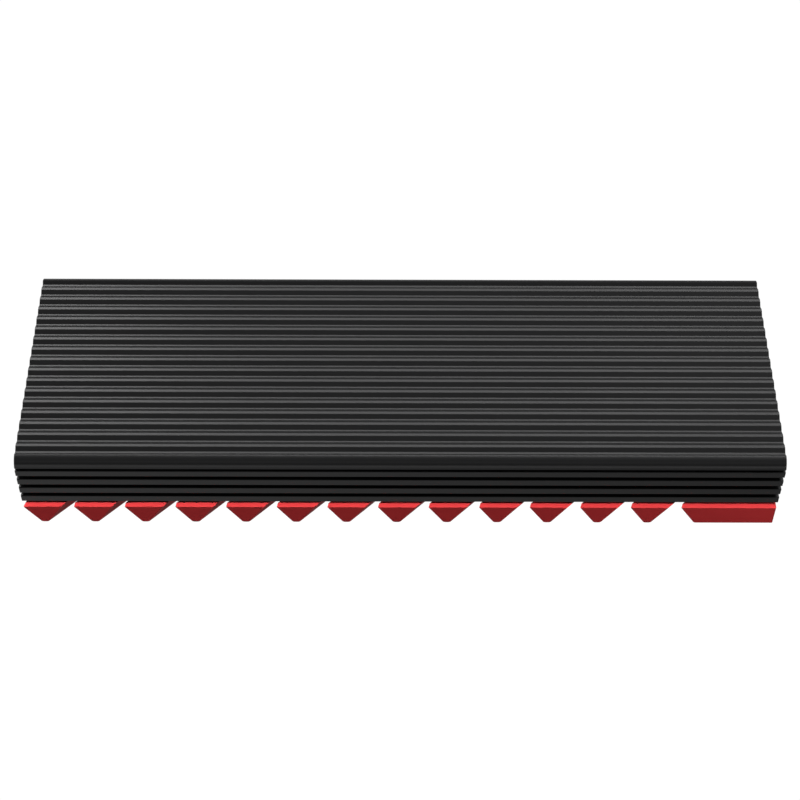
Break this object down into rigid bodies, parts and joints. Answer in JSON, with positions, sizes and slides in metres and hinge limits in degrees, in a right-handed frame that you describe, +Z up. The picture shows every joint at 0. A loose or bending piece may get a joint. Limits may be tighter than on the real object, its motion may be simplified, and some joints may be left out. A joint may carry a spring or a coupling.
{
  "type": "solid state drive",
  "caption": "Portable solid state drive: black ribbed aluminium extrusion over a red base with diagonal ridges, end plates, a connector, and a memory module on a bridge board inside.",
  "frame": {"origin": "on the resting plane, under the middle of the drive", "axes": "+X along the drive away from the connector, +Z up through the ribbed top, +Y to the back long side"},
  "size_m": [0.104, 0.0358, 0.0127],
  "materials": {
    "black_anodised": "fine bead-blasted black anodised extrusion",
    "red_anodised": "satin red anodised, machined ridges",
    "black_end_plate": "black anodised sheet",
    "black_screw": "black oxide",
    "bright_screw": "nickel plated",
    "port_steel": "drawn stainless",
    "port_plastic": "moulded black",
    "gold_contact": "gold plated",
    "clear_plastic": "clear moulded, frosted face",
    "lamp_body": "white moulded with a lens",
    "black_board": "black solder mask",
    "green_board": "green solder mask",
    "chip_black": "moulded epoxy",
    "tinned_lead": "tinned",
    "coil_grey": "moulded ferrite",
    "ceramic_tan": "fired ceramic",
    "resistor_black": "film resistor",
    "socket_plastic": "moulded black",
    "brass_standoff": "turned brass",
    "thermal_pad": "soft silicone"
  },
  "bodies": {
    "root": {"top_shell": "black_anodised", "base_plate": "red_anodised", "port_end_plate": "black_end_plate", "rear_end_plate": "black_end_plate", "end_plate_screws": "black_screw", "usb_c_shell": "port_steel", "usb_c_tongue": "port_plastic", "usb_c_contacts": "gold_contact", "light_pipe": "clear_plastic", "status_led": "lamp_body", "bridge_board": "black_board", "board_screws": "bright_screw", "bridge_controller": "chip_black", "boot_flash": "chip_black", "boot_flash_leads": "tinned_lead", "crystal": "port_steel", "power_inductors": "coil_grey", "board_capacitors": "ceramic_tan", "board_resistors": "resistor_black", "m2_socket": "socket_plastic", "m2_socket_contacts": "gold_contact", "m2_standoff": "brass_standoff", "m2_retaining_screw": "bright_screw", "ssd_board": "green_board", "ssd_edge_contacts": "gold_contact", "ssd_controller": "chip_black", "dram_chip": "chip_black", "nand_package_near": "chip_black", "nand_package_far": "chip_black", "power_management_chip": "chip_black", "ssd_capacitors": "ceramic_tan", "upper_thermal_pad": "thermal_pad", "lower_thermal_pad": "thermal_pad"}
  },
  "joints": []
}
